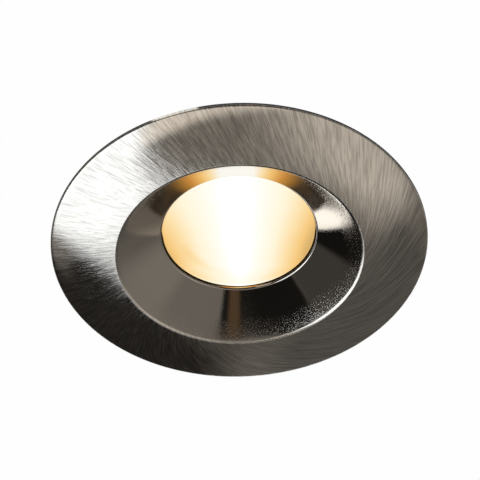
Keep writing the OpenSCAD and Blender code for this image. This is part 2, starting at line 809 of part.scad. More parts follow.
// A squat core with the winding round its middle
module transformer() {
    h = room_h - core_play;
    color([0.75, 0.6, 0.2]) translate([core_x, 0, board_top]) union() {
        translate([-core_l / 2, -core_w / 2, 0]) cube([core_l, core_w, h]);
        translate([-winding_l / 2, -winding_w / 2, 0.2 * h]) cube([winding_l, winding_w, 0.6 * h]);
    }
}

module capacitors() {
    color([0.1, 0.12, 0.3]) for (i = [0:len(capacitor_places) - 1])
        translate([capacitor_places[i].x, capacitor_places[i].y, board_top])
            cylinder(r = capacitor_radii[i], h = room_h - capacitor_play);
}

module cover_seal() {
    color([0.85, 0.85, 0.84]) ring(case_r, case_bore_r, case_top, cover_z);
}

module rear_cover() {
    spigot_r = case_bore_r - spigot_play;
    color([0.16, 0.16, 0.17]) difference() {
        union() {
            translate([0, 0, cover_z]) cylinder(r = case_r, h = cover_t);
            ears(cover_z, cover_top);
            ring(spigot_r, spigot_r - case_wall, cover_z - spigot_h, cover_z + sink);
            translate([-box_half_l, -box_half_w, cover_top - sink]) cube([box_l, box_w, box_h + sink]);
            cover_knuckles();
        }
        translate([-box_half_l + box_wall, -box_half_w + box_wall, cover_top])
            cube([box_l - 2 * box_wall, box_w - 2 * box_wall, box_h + 1]);
        translate([box_half_l - box_wall - 1, 0, cable_z]) rotate([0, 90, 0])
            cylinder(r = grommet_r, h = box_wall + 2);
        translate([-box_l, hinge_y, hinge_z]) rotate([0, 90, 0])
            cylinder(d = hinge_pin_d + 2 * fit, h = 2 * box_l);
        for (a = ear_angles) rotate([0, 0, a])
            translate([ear_orbit, 0, cover_z - 1]) cylinder(d = screw_d + 4 * fit, h = cover_t + 2);
    }
    color([0.16, 0.16, 0.17]) grip_posts();
}

module cover_knuckles() {
    for (side = [0, 1]) mirror([side, 0, 0]) translate([knuckle_x, 0, 0]) {
        translate([0, hinge_y, hinge_z]) rotate([0, 90, 0]) cylinder(d = knuckle_d, h = knuckle_l);
        translate([0, hinge_y, hinge_z - (knuckle_d + knuckle_foot) / 2])
            cube([knuckle_l, -box_half_w - hinge_y + sink, knuckle_foot]);
    }
}

module grip_posts() {
    for (y = [-1, 1] * grip_post_y) difference() {
        translate([grip_x + grip_l / 2, y, cover_top - sink])
            cylinder(d = grip_l, h = grip_z - grip_gap - cover_top + sink);
        translate([grip_x + grip_l / 2, y, cover_top + 1]) cylinder(d = screw_d + 2 * fit, h = box_h);
    }
}

module cover_screws() {
    color([0.7, 0.7, 0.7]) for (a = ear_angles) rotate([0, 0, a])
        translate([ear_orbit, 0, cover_top])
            screw(screw_d, cover_t + cover_screw_grip, screw_head_d, screw_head_h);
}

// ---- terminal box -------------------------------------------------------------------------

// Three poles: each has a bore for its core and a screw from above, with a notch between them
module terminal_block() {
    pole_z = cover_top + pole_rise;
    color([0.92, 0.92, 0.88]) difference() {
        translate([block_x, -block_w / 2, cover_top]) cube([block_l, block_w, block_h]);
        for (y = [-1, 0, 1] * pole_pitch) {
            translate([block_x - 1, y, pole_z]) rotate([0, 90, 0])
                cylinder(d = core_bore_d, h = block_l + 2);
            translate([pole_x, y, pole_z]) cylinder(d = pole_bore_d, h = block_h);
        }
        for (y = [-0.5, 0.5] * pole_pitch)
            translate([block_x - 1, y - notch_w / 2, cover_top + block_h - notch_depth])
                cube([block_l + 2, notch_w, notch_depth + 1]);
    }
}

module terminal_screws() {
    low = cover_top + pole_rise + pole_screw_lift;
    color([0.8, 0.75, 0.55]) for (y = [-1, 0, 1] * pole_pitch) difference() {
        translate([pole_x, y, low]) cylinder(d = pole_screw_d, h = pole_screw_h);
        translate([pole_x - pole_bore_d / 2, y - slot_w / 2, low + pole_screw_h - slot_depth])
            cube([pole_bore_d, slot_w, 2 * slot_depth]);
    }
}

// The grommet lines the hole in the box's end wall and grips the wall between two lips
module cable_grommet() {
    inner = -box_wall - grommet_lip;
    length = box_wall + 2 * grommet_lip;
    color([0.12, 0.12, 0.13]) translate([box_half_l, 0, cable_z]) rotate([0, 90, 0]) difference() {
        union() {
            translate([0, 0, inner]) cylinder(r = grommet_r - grommet_squeeze, h = length);
            for (z = [inner, 0]) translate([0, 0, z])
                cylinder(r = grommet_r + grommet_lip_reach, h = grommet_lip);
        }
        translate([0, 0, inner - 1]) cylinder(r = cable_r, h = length + 2);
    }
}

module cord_grip() {
    half = grip_post_y + grip_l / 2;
    color([0.92, 0.92, 0.88]) difference() {
        union() {
            translate([grip_x, -half, grip_z]) cube([grip_l, 2 * half, grip_t]);
            translate([grip_x, 0, cable_z]) rotate([0, 90, 0])
                cylinder(r = cable_r + saddle_wall, h = grip_l);
        }
        translate([grip_x - 1, 0, cable_z]) rotate([0, 90, 0]) cylinder(r = cable_r, h = grip_l + 2);
        translate([grip_x - 1, -half, cable_z - 2 * cable_r])
            cube([grip_l + 2, 2 * half, grip_rise + 2 * cable_r]);
        for (y = [-1, 1] * grip_post_y)
            translate([grip_x + grip_l / 2, y, grip_z - 1]) cylinder(d = screw_d + 4 * fit, h = grip_t + 2);
    }
}

module cord_grip_screws() {
    color([0.7, 0.7, 0.7]) for (y = [-1, 1] * grip_post_y)
        translate([grip_x + grip_l / 2, y, grip_z + grip_t])
            screw(screw_d, grip_t + cord_screw_grip, screw_head_d, screw_head_h);
}

module terminal_lid() {
    catch_y = box_half_w + lid_play;
    color([0.18, 0.18, 0.19]) difference() {
        union() {
            translate([-box_half_l, -box_half_w, box_top]) cube([box_l, box_w + lid_play + lid_t, lid_t]);
            translate([-catch_w / 2, catch_y, box_top - catch_drop])
                cube([catch_w, lid_t, catch_drop + sink]);
            translate([-knuckle_x + gap, hinge_y, hinge_z]) rotate([0, 90, 0])
                cylinder(d = knuckle_d, h = 2 * (knuckle_x - gap));
            translate([-knuckle_x + gap, hinge_y, box_top])
                cube([2 * (knuckle_x - gap), -box_half_w - hinge_y + sink, lid_t]);
        }
        translate([-box_l, hinge_y, hinge_z]) rotate([0, 90, 0])
            cylinder(d = hinge_pin_d + 2 * fit, h = 2 * box_l);
    }
}

module lid_hinge_pin() {
    half = knuckle_x + knuckle_l + hinge_pin_end;
    color([0.8, 0.8, 0.8]) translate([-half, hinge_y, hinge_z]) rotate([0, 90, 0])
        cylinder(d = hinge_pin_d, h = 2 * half);
}

bezel();
bezel_seal();
ceiling_gasket();
can();
lens();
lens_seal();
lens_ring();
reflector();
led_holder();
led_board();
led_spot();
thermal_pad();
holder_screws();
led_wires();
clip_bracket("left");  // clip_bracket_left
clip_bracket("right");  // clip_bracket_right
bracket_screws();
clip_pin("left");  // clip_pin_left
clip_pin("right");  // clip_pin_right
clip_spring("left");  // clip_spring_left
clip_spring("right");  // clip_spring_right
clip_arm("left");  // clip_arm_left
clip_arm("right");  // clip_arm_right
clip_foot("left");  // clip_foot_left
clip_foot("right");  // clip_foot_right
driver_case();
case_screws();
driver_board();
transformer();
capacitors();
cover_seal();
rear_cover();
cover_screws();
terminal_block();
terminal_screws();
cable_grommet();
cord_grip();
cord_grip_screws();
terminal_lid();
lid_hinge_pin();
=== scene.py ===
"""Looks for a round recessed soffit downlight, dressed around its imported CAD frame.

Metres. The plane z = 0 is the lower face of the ceiling, +Z goes up into the soffit and the
light shines towards -Z. The camera looks up from below, at -Y.
"""

import json

import bpy
from math import asin, atan2, cos, degrees, e, pi, radians, sin, tan
from mathutils import Matrix, Vector


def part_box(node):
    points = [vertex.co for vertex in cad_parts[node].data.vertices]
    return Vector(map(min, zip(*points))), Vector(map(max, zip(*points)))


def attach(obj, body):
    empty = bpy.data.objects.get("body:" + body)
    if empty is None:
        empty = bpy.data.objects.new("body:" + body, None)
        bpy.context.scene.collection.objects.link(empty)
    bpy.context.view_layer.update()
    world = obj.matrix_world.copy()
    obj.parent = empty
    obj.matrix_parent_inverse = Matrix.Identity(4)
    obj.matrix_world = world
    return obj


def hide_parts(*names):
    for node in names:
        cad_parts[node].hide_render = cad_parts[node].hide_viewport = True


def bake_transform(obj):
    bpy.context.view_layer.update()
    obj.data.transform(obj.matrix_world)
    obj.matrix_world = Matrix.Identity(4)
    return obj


MM = 0.001

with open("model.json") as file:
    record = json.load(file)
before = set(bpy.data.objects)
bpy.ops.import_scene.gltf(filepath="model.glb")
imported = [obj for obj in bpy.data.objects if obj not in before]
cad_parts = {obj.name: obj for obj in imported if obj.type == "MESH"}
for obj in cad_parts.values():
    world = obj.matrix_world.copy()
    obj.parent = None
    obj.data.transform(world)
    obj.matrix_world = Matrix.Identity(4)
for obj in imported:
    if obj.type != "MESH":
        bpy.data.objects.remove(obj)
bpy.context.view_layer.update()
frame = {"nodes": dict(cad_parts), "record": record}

# ---- sizes ---------------------------------------------------------------------------------

# Slopes and angles are in degrees. First the bezel's sizes that the CAD source has too:
BEZEL_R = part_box("bezel")[1].x
BEZEL_WALL = 1.0 * MM
RIM_T = 0.85 * MM
RIM_ROUND = 0.4 * MM
RIM_SLOPE = 20
LIP_SLOPE = 4
DOME_W = 14.5 * MM
RECESS_W = 10.5 * MM
LIP_R = BEZEL_R - DOME_W
APERTURE_R = LIP_R - RECESS_W
EDGE_R = BEZEL_WALL / 2

# The finer shape that its reflections need: a rounder bead, a cone half a degree flatter with a
# faint flare at its mouth, a narrow land beside the aperture and a broken edge on the rim's top
BEAD_R = 1.2 * MM
CONE_SLOPE = 37.5
FLARE_SLOPE = 3
FLARE_W = 1.6 * MM
LAND_SLOPE = 20
LAND_W = 0.06 * MM
BROKEN_EDGE = 0.05 * MM

# Steps along the bezel's section
RIM_STEPS = 8
DOME_STEPS = 32
BEAD_STEPS = 14
FLARE_STEPS = 10
CONE_STEPS = 12
EDGE_STEPS = 12
BACK_STEPS = 24

# One more ring, at this share of the way up the cone, keeps the land's shading off the cone
LAST_RING = 0.99

# The locking sleeve and its lugs
SLEEVE_R = LIP_R + 1.6 * MM
SLEEVE_WALL = 1.0 * MM
SLEEVE_LOW = -2.9 * MM
SLEEVE_TOP = 3.6 * MM
LUG_COUNT = 3
LUG_ANGLE = 18
LUG_MID = 90
LUG_REACH = 1.7 * MM
LUG_LOW = 0.6 * MM
LUG_TOP = LUG_LOW + 1.6 * MM

# The lens
LENS_GAP = 0.25 * MM
LENS_FACE_R = APERTURE_R - LENS_GAP
LENS_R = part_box("lens")[1].x
LENS_LOW, LENS_TOP = (corner.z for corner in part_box("lens"))
LENS_T = 2.2 * MM
LENS_EASE = 0.25 * MM
EASE_STEPS = 6

# The clips' springs, wound along Y about pins that lie beside the can
WIRE_R = 0.5 * MM
WIRE_SIDES = 14
COIL_R = 2.3 * MM
COIL_PITCH = 1.5 * MM
COIL_TURNS = 4 + 1 / 6
COIL_SPAN = COIL_PITCH * COIL_TURNS
COIL_STEPS = round(36 * COIL_TURNS)
FIXED_LEG = 5.4 * MM
MOVING_LEG = 6.0 * MM

# The right pin's middle, from the solid spring's inner side and the top of its fixed leg
SOLID_LOW, SOLID_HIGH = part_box("clip_spring_right")
PIN_X = SOLID_LOW.x + COIL_R + WIRE_R
PIN_Z = SOLID_HIGH.z - FIXED_LEG

# Steps round the turned pieces: 1.5 degrees each, so that a lug's sides fall on them
STEPS = 240


# ---- camera --------------------------------------------------------------------------------

# The view that the photograph was taken from, and the bezel's radius and centre there in pixels
CAMERA_ELEVATION = -46.2
CAMERA_ROLL = -2.2
CAMERA_DISTANCE = 15 * BEZEL_R
PHOTO_SIDE = 480
PHOTO_BEZEL_R = 188.4
PHOTO_CENTRE = (239.4, 245.0)
SENSOR = 36.0
NEAREST = 0.01
FARTHEST = 20


def make_camera():
    """The camera looks up from below and shows the bezel where the photograph does."""
    focal_pixels = PHOTO_BEZEL_R * CAMERA_DISTANCE / BEZEL_R
    up = radians(CAMERA_ELEVATION)
    back = Vector((0, -cos(up), sin(up)))
    roll = Matrix.Rotation(radians(CAMERA_ROLL), 3, "Z")
    turn = (-back).to_track_quat("-Z", "Y").to_matrix() @ roll
    middle = PHOTO_SIDE / 2
    off_middle = Vector((middle - PHOTO_CENTRE[0], PHOTO_CENTRE[1] - middle, 0))
    aside = off_middle * CAMERA_DISTANCE / focal_pixels
    data = bpy.data.cameras.new("camera")
    data.sensor_width = SENSOR
    data.lens = SENSOR * focal_pixels / PHOTO_SIDE
    data.clip_start = NEAREST
    data.clip_end = FARTHEST
    camera = bpy.data.objects.new("camera", data)
    camera.matrix_world = Matrix.Translation(back * CAMERA_DISTANCE + turn @ aside) @ turn.to_4x4()
    bpy.context.scene.collection.objects.link(camera)
    bpy.context.scene.camera = camera


make_camera()


# ---- modelling -----------------------------------------------------------------------------

# Points nearer to each other than this are merged
SAME_PLACE = 0.001 * MM


def deselect_all():
    for item in bpy.context.selected_objects:
        item.select_set(False)


def arc(centre, radius, start, end, steps):
    """Points (radius, height) of an arc in the plane of a turned profile. Angles in degrees."""
    angles = [radians(start + (end - start) * i / steps) for i in range(steps + 1)]
    return [(centre[0] + radius * cos(a), centre[1] + radius * sin(a)) for a in angles]


def turned(name, profile, ends="joined"):
    """A circle at the profile's first point, extruded and scaled from point to point.

    The ends of the profile are joined to each other, filled across the axis or left open."""
    deselect_all()
    first_r, first_z = profile[0]
    bpy.ops.mesh.primitive_circle_add(vertices=STEPS, radius=first_r, location=(0, 0, first_z))
    piece = bpy.context.object
    piece.name = name
    bpy.ops.object.mode_set(mode="EDIT")
    path = profile + profile[:1] if ends == "joined" else profile
    for (r, z), (next_r, next_z) in zip(path, path[1:]):
        bpy.ops.mesh.extrude_region_move(TRANSFORM_OT_translate={"value": (0, 0, next_z - z)})
        grow = next_r / r
        bpy.ops.transform.resize(value=(grow, grow, 1), center_override=(0, 0, next_z))
    bpy.ops.mesh.select_all(action="SELECT")
    bpy.ops.mesh.remove_doubles(threshold=SAME_PLACE)
    if ends == "filled":
        bpy.ops.mesh.fill_holes(sides=0)
    bpy.ops.mesh.normals_make_consistent(inside=False)
    bpy.ops.object.mode_set(mode="OBJECT")
    bpy.ops.object.transform_apply(location=True, rotation=True, scale=True)
    return piece


def smooth(piece, angle=30):
    """Smooth shading, with sharp edges where faces meet at more than the angle."""
    deselect_all()
    piece.select_set(True)
    bpy.context.view_layer.objects.active = piece
    bpy.ops.object.shade_smooth_by_angle(angle=radians(angle))


def select_faces(piece, chosen):
    """Leaves the piece in edit mode with the faces selected whose centre the test accepts."""
    bpy.context.view_layer.objects.active = piece
    bpy.ops.object.mode_set(mode="EDIT")
    bpy.ops.mesh.select_mode(type="FACE")
    bpy.ops.mesh.select_all(action="DESELECT")
    bpy.ops.object.mode_set(mode="OBJECT")
    for face in piece.data.polygons:
        face.select = chosen(face.center)
    bpy.ops.object.mode_set(mode="EDIT")


def finish_edit():
    """Back to object mode, with vertex selection for the next edit."""
    bpy.ops.mesh.select_mode(type="VERT")
    bpy.ops.object.mode_set(mode="OBJECT")


# ---- bezel and lens ------------------------------------------------------------------------


def along(point, direction, length):
    """The point at a length from another in a direction, as (radius, height)."""
    return point[0] + direction[0] * length, point[1] + direction[1] * length


def out_of(slope):
    """The unit vector square to a face and out of it. A face of positive slope looks outwards
    and down, and one of negative slope inwards and down."""
    return sin(radians(slope)), -cos(radians(slope))


def climb(point, slope, length):
    """The point this far up a slope, on the way in towards the axis."""
    return along(point, (-cos(radians(slope)), sin(radians(slope))), length)


def climb_to(point, slope, radius):
    """The point where a slope from the first point reaches a radius."""
    return radius, point[1] + (point[0] - radius) * tan(radians(slope))


def dome_circle(rim_centre):
    """Centre and radius of the dome's arc, from the rim's rounding to the bead."""
    start = along(rim_centre, out_of(RIM_SLOPE), RIM_ROUND)
    end_r = LIP_R + BEAD_R * sin(radians(LIP_SLOPE))
    radius = (start[0] - end_r) / (sin(radians(RIM_SLOPE)) - sin(radians(LIP_SLOPE)))
    return along(start, out_of(RIM_SLOPE), -radius), radius


def flare_points(point):
    """The cone's first stretch, which starts a little flatter than the cone and steepens."""
    points = []
    for i in range(FLARE_STEPS):
        to_go = 1 - (i + 0.5) / FLARE_STEPS
        point = climb(point, CONE_SLOPE - FLARE_SLOPE * to_go**2, FLARE_W / FLARE_STEPS)
        points.append(point)
    return points


def cone_points(start, end):
    """The straight part of the cone, up to and with its end."""
    shares = [i / CONE_STEPS for i in range(1, CONE_STEPS)] + [LAST_RING]
    rings = [tuple(a + (b - a) * share for a, b in zip(start, end)) for share in shares]
    return rings + [end]


def bezel_profile():
    """The pressed shell's section. In front it runs over the rim, dome, bead, flare, cone and
    land to the aperture's rounded edge, and behind along the same sheet's back to the rim."""
    rim_centre = (BEZEL_R - RIM_ROUND, RIM_ROUND - RIM_T)
    dome_centre, dome_r = dome_circle(rim_centre)
    bead_centre = along(dome_centre, out_of(LIP_SLOPE), dome_r - BEAD_R)
    bead = arc(bead_centre, BEAD_R, LIP_SLOPE - 90, FLARE_SLOPE - CONE_SLOPE - 90, BEAD_STEPS)
    flare = flare_points(bead[-1])

    land_end_r = APERTURE_R + EDGE_R * (1 - sin(radians(LAND_SLOPE)))
    cone_end_r = land_end_r + LAND_W * cos(radians(LAND_SLOPE))
    cone_start = along(bead_centre, out_of(-CONE_SLOPE), BEAD_R)
    cone_end = climb_to(cone_start, CONE_SLOPE, cone_end_r)
    land_end = climb(cone_end, LAND_SLOPE, LAND_W)
    edge_centre = along(land_end, out_of(-LAND_SLOPE), -EDGE_R)

    cone_back = along(edge_centre, out_of(-CONE_SLOPE), -EDGE_R)
    valley = climb_to(cone_back, CONE_SLOPE, LIP_R - BEAD_R / 2)
    back_r = dome_r - BEZEL_WALL
    seat_slope = 90 - degrees(asin(dome_centre[1] / back_r))
    return (
        [(BEZEL_R, -BROKEN_EDGE)]
        + arc(rim_centre, RIM_ROUND, 0, RIM_SLOPE - 90, RIM_STEPS)
        + arc(dome_centre, dome_r, RIM_SLOPE - 90, LIP_SLOPE - 90, DOME_STEPS)[1:]
        + bead[1:]
        + flare
        + cone_points(flare[-1], cone_end)
        + arc(edge_centre, EDGE_R, 270 - LAND_SLOPE, 90 - CONE_SLOPE, EDGE_STEPS)
        + [valley]
        + arc(dome_centre, back_r, LIP_SLOPE - 90, seat_slope - 90, BACK_STEPS)
        + [(BEZEL_R - BROKEN_EDGE, 0)]
    )


def make_bezel_shell():
    shell = turned("bezel_shell", bezel_profile())
    smooth(shell, angle=32)
    return shell


def make_bezel_sleeve():
    """The locking sleeve behind the lip, with its lugs drawn out of its wall."""
    inner = SLEEVE_R - SLEEVE_WALL
    outside = [(SLEEVE_R, z) for z in (SLEEVE_LOW, LUG_LOW, LUG_TOP, SLEEVE_TOP)]
    sleeve = turned("bezel_sleeve", outside + [(inner, SLEEVE_TOP), (inner, SLEEVE_LOW)])
    apart = 360 / LUG_COUNT

    def on_lug(centre):
        turn = degrees(atan2(centre.y, centre.x)) - LUG_MID
        off_middle = abs((turn + apart / 2) % apart - apart / 2)
        on_outside = Vector((centre.x, centre.y)).length > (inner + SLEEVE_R) / 2
        return on_outside and off_middle < LUG_ANGLE / 2 and LUG_LOW < centre.z < LUG_TOP

    select_faces(sleeve, on_lug)
    bpy.ops.mesh.extrude_region_move()
    grow = (SLEEVE_R + LUG_REACH) / SLEEVE_R
    bpy.ops.transform.resize(value=(grow, grow, 1), center_override=(0, 0, LUG_LOW))
    finish_edit()
    smooth(sleeve)
    return sleeve


def make_lens():
    """A stepped disc with an eased edge on its face."""
    ease_centre = (LENS_FACE_R - LENS_EASE, LENS_LOW + LENS_EASE)
    step_z = LENS_TOP - LENS_T
    profile = [
        (LENS_FACE_R - LENS_EASE * 2, LENS_LOW),
        *arc(ease_centre, LENS_EASE, -90, 0, EASE_STEPS),
        (LENS_FACE_R, step_z),
        (LENS_R, step_z),
        (LENS_R, LENS_TOP),
    ]
    lens = turned("lens_disc", profile, ends="filled")
    smooth(lens)
    return lens


# ---- clip springs --------------------------------------------------------------------------


def wound_coil(name):
    """Round wire wound along Y about the origin, with both its ends open."""
    deselect_all()
    start = (-COIL_R, -COIL_SPAN / 2, 0)
    bpy.ops.mesh.primitive_circle_add(vertices=WIRE_SIDES, radius=WIRE_R, location=start)
    coil = bpy.context.object
    coil.name = name
    bpy.ops.object.transform_apply(location=True, rotation=True, scale=True)
    winding = coil.modifiers.new("winding", "SCREW")
    winding.axis = "Y"
    winding.angle = -2 * pi * COIL_TURNS
    winding.screw_offset = COIL_SPAN
    winding.steps = COIL_STEPS
    winding.render_steps = COIL_STEPS
    winding.use_normal_calculate = True
    bpy.ops.object.modifier_apply(modifier="winding")
    return coil


def select_open_end(piece, near_y):
    """Leaves the piece in edit mode with the open edge loop selected that lies nearest to a Y."""
    bpy.context.view_layer.objects.active = piece
    bpy.ops.object.mode_set(mode="EDIT")
    bpy.ops.mesh.select_mode(type="EDGE")
    bpy.ops.mesh.select_all(action="DESELECT")
    bpy.ops.mesh.select_non_manifold(extend=False, use_wire=False, use_multi_face=False)
    bpy.ops.object.mode_set(mode="OBJECT")
    vertices = piece.data.vertices
    for edge in piece.data.edges:
        middle = sum(vertices[i].co.y for i in edge.vertices) / 2
        edge.select = edge.select and abs(middle - near_y) < abs(middle + near_y)
    for vertex in vertices:
        vertex.select = False
    for edge in piece.data.edges:
        for i in edge.vertices:
            vertices[i].select = vertices[i].select or edge.select
    bpy.ops.object.mode_set(mode="EDIT")


def draw_out_leg(coil, end_y, leg):
    """A straight leg, drawn out of the wire's end that lies nearest to a Y."""
    select_open_end(coil, end_y)
    bpy.ops.mesh.extrude_region_move(TRANSFORM_OT_translate={"value": leg})
    finish_edit()


def make_clip_spring(side, turn):
    """One leg stands up against the bracket and the other runs out under the arm. The left
    spring is the right one turned about Z."""
    spring = wound_coil("wound_spring_" + side)
    end_turn = 2 * pi * COIL_TURNS + pi
    draw_out_leg(spring, -COIL_SPAN / 2, Vector((0, 0, FIXED_LEG)))
    draw_out_leg(spring, COIL_SPAN / 2, Vector((-sin(end_turn), 0, cos(end_turn))) * MOVING_LEG)
    bpy.ops.object.mode_set(mode="EDIT")
    bpy.ops.mesh.select_all(action="SELECT")
    bpy.ops.mesh.fill_holes(sides=0)
    bpy.ops.mesh.normals_make_consistent(inside=False)
    bpy.ops.transform.translate(value=(PIN_X, 0, PIN_Z))
    bpy.ops.transform.rotate(value=radians(turn), orient_axis="Z", center_override=(0, 0, 0))
    finish_edit()
    smooth(spring, angle=50)
    return spring


# ---- materials -----------------------------------------------------------------------------


class Link:
    """One output socket. Sums and products on it add Math nodes."""

    def __init__(self, tree, socket):
        self.tree = tree
        self.socket = socket

    def maths(self, operation, *values):
        return self.tree.node("ShaderNodeMath", {"operation": operation}, dict(enumerate(values)))

    def __add__(self, other):
        return self.maths("ADD", self, other)

    def __sub__(self, other):
        return self.maths("SUBTRACT", self, other)

    def __mul__(self, other):
        return self.maths("MULTIPLY", self, other)

    def __truediv__(self, other):
        return self.maths("DIVIDE", self, other)

    def __pow__(self, other):
        return self.maths("POWER", self, other)

    def __rsub__(self, other):
        return self.maths("SUBTRACT", other, self)

    __radd__ = __add__
    __rmul__ = __mul__

    def function(self, operation, *values):
        """A Math node of another kind with this value first, such as SINE or MAXIMUM."""
        return self.maths(operation, self, *values)

    def between(self, start, end, low=0.0, high=1.0):
        """Low before start and high after end, with a smooth step between them."""
        settings = {"interpolation_type": "SMOOTHSTEP"}
        values = {"Value": self, "From Min": start, "From Max": end, "To Min": low, "To Max": high}
        return self.tree.node("ShaderNodeMapRange", settings, values)

    def within(self, start, end, soft):
        """One between start and end and nothing outside, with edges that take soft to change."""
        rise = self.between(start - soft / 2, start + soft / 2)
        fall = self.between(end - soft / 2, end + soft / 2, 1.0, 0.0)
        return rise * fall

    def in_degrees(self):
        """The same angle in degrees, from radians."""
        return self * (180 / pi)


class Tree:
    """One node tree, built by calls that read like a recipe."""

    def __init__(self, tree):
        self.tree = tree
        tree.nodes.clear()

    def node(self, kind, settings=None, values=None, output=0):
        """Adds a node with its settings and its sockets' values or links, and gives one output."""
        made = self.tree.nodes.new(kind)
        for name, value in (settings or {}).items():
            if name == "stops":
                self.set_stops(made.color_ramp, value)
            else:
                setattr(made, name, value)
        for name, value in (values or {}).items():
            self.fill(made.inputs[name], value)
        return Link(self, made.outputs[output])

    def set_stops(self, ramp, stops):
        while len(ramp.elements) < len(stops):
            ramp.elements.new(0.5)
        for element, (position, colour) in zip(ramp.elements, stops):
            element.position = position
            element.color = (*colour, 1)

    def fill(self, socket, value):
        if isinstance(value, Link):
            self.tree.links.new(value.socket, socket)
        elif isinstance(value, tuple) and socket.type == "RGBA":
            socket.default_value = (*value, 1)
        else:
            socket.default_value = value

    def place(self):
        """The point on the piece, in metres, in the frame that all pieces share."""
        return self.node("ShaderNodeTexCoord", output="Object")

    def split(self, vector):
        """The vector's three numbers."""
        parts = self.tree.nodes.new("ShaderNodeSeparateXYZ")
        self.tree.links.new(vector.socket, parts.inputs[0])
        return [Link(self, parts.outputs[i]) for i in range(3)]

    def join(self, x, y, z):
        """The vector with these three numbers."""
        return self.node("ShaderNodeCombineXYZ", values={0: x, 1: y, 2: z})

    def noise(self, vector, size=1.0, detail=2.0, roughness=0.5):
        """Cloudy noise with lumps of about a size, finer with more detail."""
        values = {"Vector": vector, "Scale": 1 / size, "Detail": detail, "Roughness": roughness}
        return self.node("ShaderNodeTexNoise", values=values)

    def cells(self, vector, size, feature="F1", randomness=1.0):
        """The distance to the nearest cell's middle, or what the feature measures instead."""
        values = {"Vector": vector, "Scale": 1 / size, "Randomness": randomness}
        return self.node("ShaderNodeTexVoronoi", {"feature": feature}, values, "Distance")

    def ramp(self, level, stops):
        """The colour at a level, from stops of a place and a colour each."""
        return self.node("ShaderNodeValToRGB", {"stops": stops}, {"Fac": level})

    def mix(self, factor, first, second):
        """First where the factor is 0 and second where it is 1, for colours."""
        values = {0: factor, 6: first, 7: second}
        return self.node("ShaderNodeMix", {"data_type": "RGBA"}, values, 2)

    def stretched(self, vector, size):
        """The point measured in other units along each axis, given as the size of one unit."""
        scale = tuple(1 / s for s in size)
        return self.node("ShaderNodeMapping", values={"Vector": vector, "Scale": scale})

    def bump(self, height, strength, distance):
        """A relief in the surface, this deep in metres where the height goes from 0 to 1."""
        values = {"Height": height, "Strength": strength, "Distance": distance}
        return self.node("ShaderNodeBump", values=values)

    def ray(self, question):
        """One for the rays that the question fits, such as Is Camera Ray, and 0 for others."""
        return self.node("ShaderNodeLightPath", output=question)

    def mix_shaders(self, factor, first, second):
        """First where the factor is 0 and second where it is 1, for shaders."""
        return self.node("ShaderNodeMixShader", values={0: factor, 1: first, 2: second})

    def output(self, shader, kind="ShaderNodeOutputMaterial"):
        made = self.tree.nodes.new(kind)
        self.tree.links.new(shader.socket, made.inputs["Surface"])

    def principled(self, values):
        self.output(self.node("ShaderNodeBsdfPrincipled", values=values))


def new_material(name):
    material = bpy.data.materials.new(name)
    material.use_nodes = True
    return material, Tree(material.node_tree)


# The strokes' sizes hold at this radius. They lean off the radius by about 15 degrees, and by up
# to 65 at one place round the bezel. The leans are given as tangents.
BRUSH_R = 35 * MM
SWING_TURN = 25
LEAST_LEAN = 0.25
MOST_LEAN = 2.1

# On the way in, the brushing has ended at the first radius and the last pits at the second
BRUSHING_END = LIP_R - 1 * MM
PITS_END = LIP_R - 5.5 * MM

# The nickel's colours, and the roughness of its polish
POLISHED = (0.66, 0.63, 0.585)
DARK_STROKE = (0.51, 0.489, 0.453)
BRIGHT_STROKE = (0.85, 0.817, 0.761)
POLISH = 0.05


def brushed_nickel():
    """Satin nickel: fine curved strokes on the dome, polished from the bead's top inwards, with
    a few pits just inside the bead."""
    material, tree = new_material("brushed_nickel")
    x, y, _ = tree.split(tree.place())
    radius = (x * x + y * y) ** 0.5
    radius_log = (radius / BRUSH_R).function("LOGARITHM", e)
    turn = y.function("ARCTAN2", x)
    swing = ((1 + (turn - radians(SWING_TURN)).function("COSINE")) * 0.5) ** 2
    stroke = turn + (LEAST_LEAN + (MOST_LEAN - LEAST_LEAN) * swing) * radius_log

    def strokes(width, length, detail):
        """Noise drawn out along the lines on which the stroke value stays the same."""
        around = BRUSH_R / width
        point = tree.join(
            stroke.function("COSINE") * around,
            stroke.function("SINE") * around,
            radius_log * (BRUSH_R / length),
        )
        return tree.noise(point, detail=detail, roughness=0.6)

    fine = strokes(0.22 * MM, 3 * MM, 2.0)
    coarse = strokes(0.6 * MM, 4 * MM, 3.0)
    patchy = strokes(3 * MM, 12 * MM, 2.0)
    marks = fine + (coarse - fine) * (0.5 + 0.35 * swing)
    dull = marks.between(0.35, 0.65, 0.06, 0.12) + patchy.between(0.3, 0.7, -0.01, 0.02)

    brushing = radius.between(BRUSHING_END, LIP_R + 0.1 * MM)
    inside_bead = radius.between(PITS_END, BRUSHING_END) * (1 - brushing)
    grit = tree.noise(tree.place(), 0.3 * MM, roughness=0.6)
    pits = grit.between(0.54, 0.68) * inside_bead

    # The strokes are cut into the dome. Inside the bead they are faint, beside grit and pits
    relief = marks * (0.2 + brushing * 2.6) + (grit * 0.9 + pits * 1.9) * (1 - brushing)
    brushed = tree.mix(marks.between(0.36, 0.64), DARK_STROKE, BRIGHT_STROKE)
    tree.principled(
        {
            "Base Color": tree.mix(brushing, POLISHED, brushed),
            "Metallic": 1.0,
            "Roughness": POLISH + inside_bead * 0.08 + brushing * (dull - POLISH),
            "Anisotropic": 0.4,
            "Normal": tree.bump(relief, 0.5, 0.012 * MM),
        }
    )
    return material


